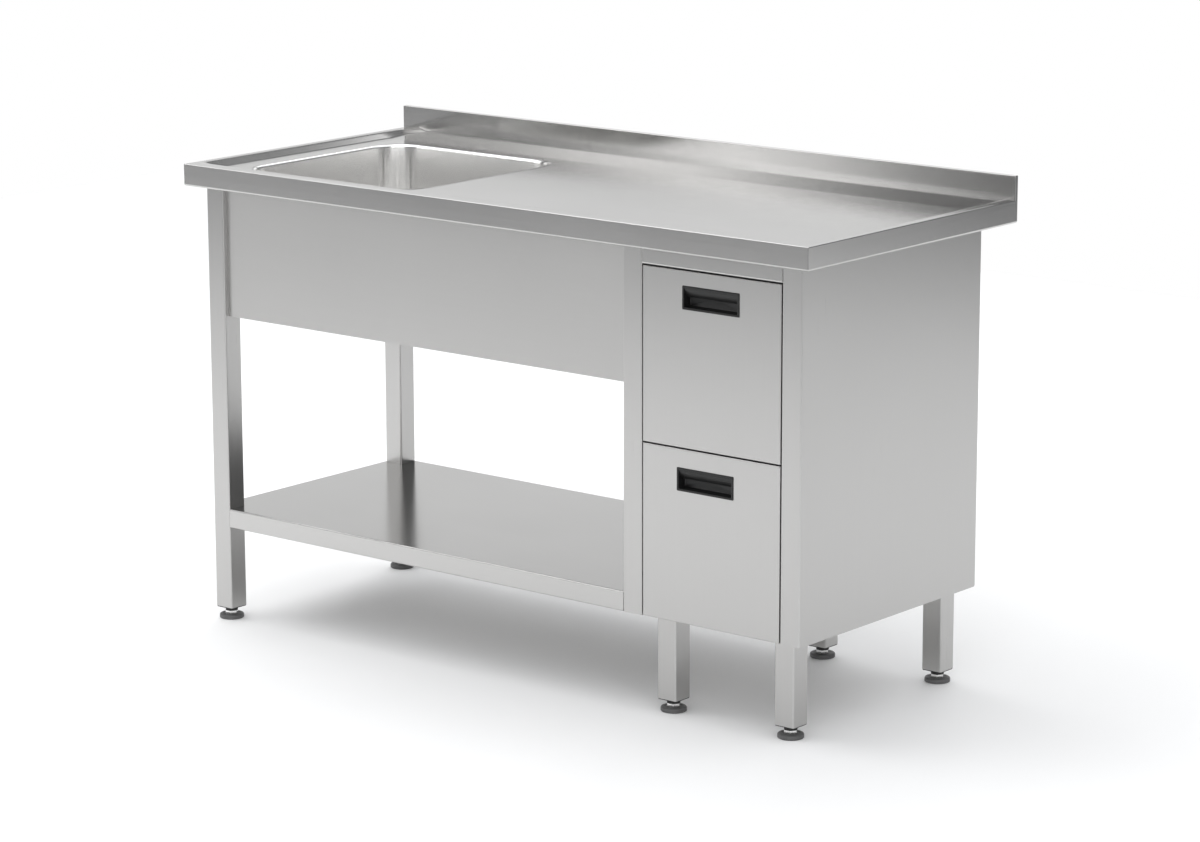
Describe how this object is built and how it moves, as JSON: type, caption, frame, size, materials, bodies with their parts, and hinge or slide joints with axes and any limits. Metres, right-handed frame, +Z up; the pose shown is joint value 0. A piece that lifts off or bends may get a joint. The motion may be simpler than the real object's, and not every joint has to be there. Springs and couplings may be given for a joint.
{
  "type": "stainless work table",
  "caption": "Stainless work table with a recessed top and rear upstand, a sink bowl, a lower shelf, a cabinet of sliding drawers and screw-in levelling feet.",
  "frame": {"origin": "on the floor, under the middle of the bounding box", "axes": "+X along the length towards the drawer end, +Y to the rear where the upstand is, +Z up"},
  "size_m": [1.4, 0.6, 0.892],
  "materials": {
    "worktop_steel": "AISI 304 sheet, fine satin grain along the length",
    "panel_steel": "stainless sheet, satin",
    "front_steel": "stainless sheet, satin, vertical grain",
    "tube_steel": "welded square tube, ground along its length",
    "bowl_steel": "deep-drawn and polished",
    "strainer_steel": "polished",
    "stud_steel": "turned, zinc plated",
    "slide_steel": "rolled, bright zinc plated",
    "pull_plastic": "black moulded plastic, fine texture",
    "plug_plastic": "black moulded plastic",
    "foot_plastic": "dark grey moulded plastic",
    "tail_plastic": "white moulded plastic",
    "gasket_rubber": "matt"
  },
  "bodies": {
    "table": {"cabinet_back": "panel_steel", "cabinet_bottom": "panel_steel", "cabinet_rear_rail": "panel_steel", "cabinet_side_left": "panel_steel", "cabinet_side_right": "panel_steel", "cabinet_top_rail": "panel_steel", "drain_gasket": "gasket_rubber", "drain_screw": "stud_steel", "drain_strainer": "strainer_steel", "drain_tail": "tail_plastic", "front_apron": "panel_steel", "left_apron": "panel_steel", "leg_cabinet_front_left": "tube_steel", "leg_cabinet_front_right": "tube_steel", "leg_cabinet_rear_left": "tube_steel", "leg_cabinet_rear_right": "tube_steel", "leg_front_left": "tube_steel", "leg_plugs": "plug_plastic", "leg_rear_left": "tube_steel", "lower_shelf": "worktop_steel", "lower_slide_outer_left": "slide_steel", "lower_slide_outer_right": "slide_steel", "rear_rail": "tube_steel", "shelf_stiffener": "panel_steel", "sink_bowl": "bowl_steel", "slide_brackets": "panel_steel", "upper_slide_outer_left": "slide_steel", "upper_slide_outer_right": "slide_steel", "worktop": "worktop_steel", "worktop_stiffener_front": "panel_steel", "worktop_stiffener_rear": "panel_steel"},
    "upper_drawer": {"upper_drawer_box": "panel_steel", "upper_drawer_front": "front_steel", "upper_drawer_pull": "pull_plastic", "upper_slide_inner_left": "slide_steel", "upper_slide_inner_right": "slide_steel"},
    "upper_slide_middle": {"upper_slide_middle_left": "slide_steel", "upper_slide_middle_right": "slide_steel"},
    "lower_drawer": {"lower_drawer_box": "panel_steel", "lower_drawer_front": "front_steel", "lower_drawer_pull": "pull_plastic", "lower_slide_inner_left": "slide_steel", "lower_slide_inner_right": "slide_steel"},
    "lower_slide_middle": {"lower_slide_middle_left": "slide_steel", "lower_slide_middle_right": "slide_steel"},
    "foot_front_left": {"foot_pad_front_left": "foot_plastic", "foot_stud_front_left": "stud_steel"},
    "foot_rear_left": {"foot_pad_rear_left": "foot_plastic", "foot_stud_rear_left": "stud_steel"},
    "foot_cabinet_front_left": {"foot_pad_cabinet_front_left": "foot_plastic", "foot_stud_cabinet_front_left": "stud_steel"},
    "foot_cabinet_front_right": {"foot_pad_cabinet_front_right": "foot_plastic", "foot_stud_cabinet_front_right": "stud_steel"},
    "foot_cabinet_rear_left": {"foot_pad_cabinet_rear_left": "foot_plastic", "foot_stud_cabinet_rear_left": "stud_steel"},
    "foot_cabinet_rear_right": {"foot_pad_cabinet_rear_right": "foot_plastic", "foot_stud_cabinet_rear_right": "stud_steel"}
  },
  "joints": [
    {"name": "upper_drawer_slide", "type": "slide", "parent": "table", "child": "upper_drawer", "axis": [0, -1, 0], "range_m": [0, 0.45]},
    {"name": "upper_middle_slide", "type": "slide", "parent": "table", "child": "upper_slide_middle", "axis": [0, -1, 0], "range_m": [0, 0.225]},
    {"name": "lower_drawer_slide", "type": "slide", "parent": "table", "child": "lower_drawer", "axis": [0, -1, 0], "range_m": [0, 0.45]},
    {"name": "lower_middle_slide", "type": "slide", "parent": "table", "child": "lower_slide_middle", "axis": [0, -1, 0], "range_m": [0, 0.225]},
    {"name": "foot_front_left_screw", "type": "slide", "parent": "table", "child": "foot_front_left", "axis": [0, 0, -1], "range_m": [0, 0.025]},
    {"name": "foot_rear_left_screw", "type": "slide", "parent": "table", "child": "foot_rear_left", "axis": [0, 0, -1], "range_m": [0, 0.025]},
    {"name": "foot_cabinet_front_left_screw", "type": "slide", "parent": "table", "child": "foot_cabinet_front_left", "axis": [0, 0, -1], "range_m": [0, 0.025]},
    {"name": "foot_cabinet_front_right_screw", "type": "slide", "parent": "table", "child": "foot_cabinet_front_right", "axis": [0, 0, -1], "range_m": [0, 0.025]},
    {"name": "foot_cabinet_rear_left_screw", "type": "slide", "parent": "table", "child": "foot_cabinet_rear_left", "axis": [0, 0, -1], "range_m": [0, 0.025]},
    {"name": "foot_cabinet_rear_right_screw", "type": "slide", "parent": "table", "child": "foot_cabinet_rear_right", "axis": [0, 0, -1], "range_m": [0, 0.025]}
  ],
  "couplings": [
    {"joint": "upper_middle_slide", "follows": "upper_drawer_slide", "ratio": 0.5},
    {"joint": "lower_middle_slide", "follows": "lower_drawer_slide", "ratio": 0.5}
  ]
}
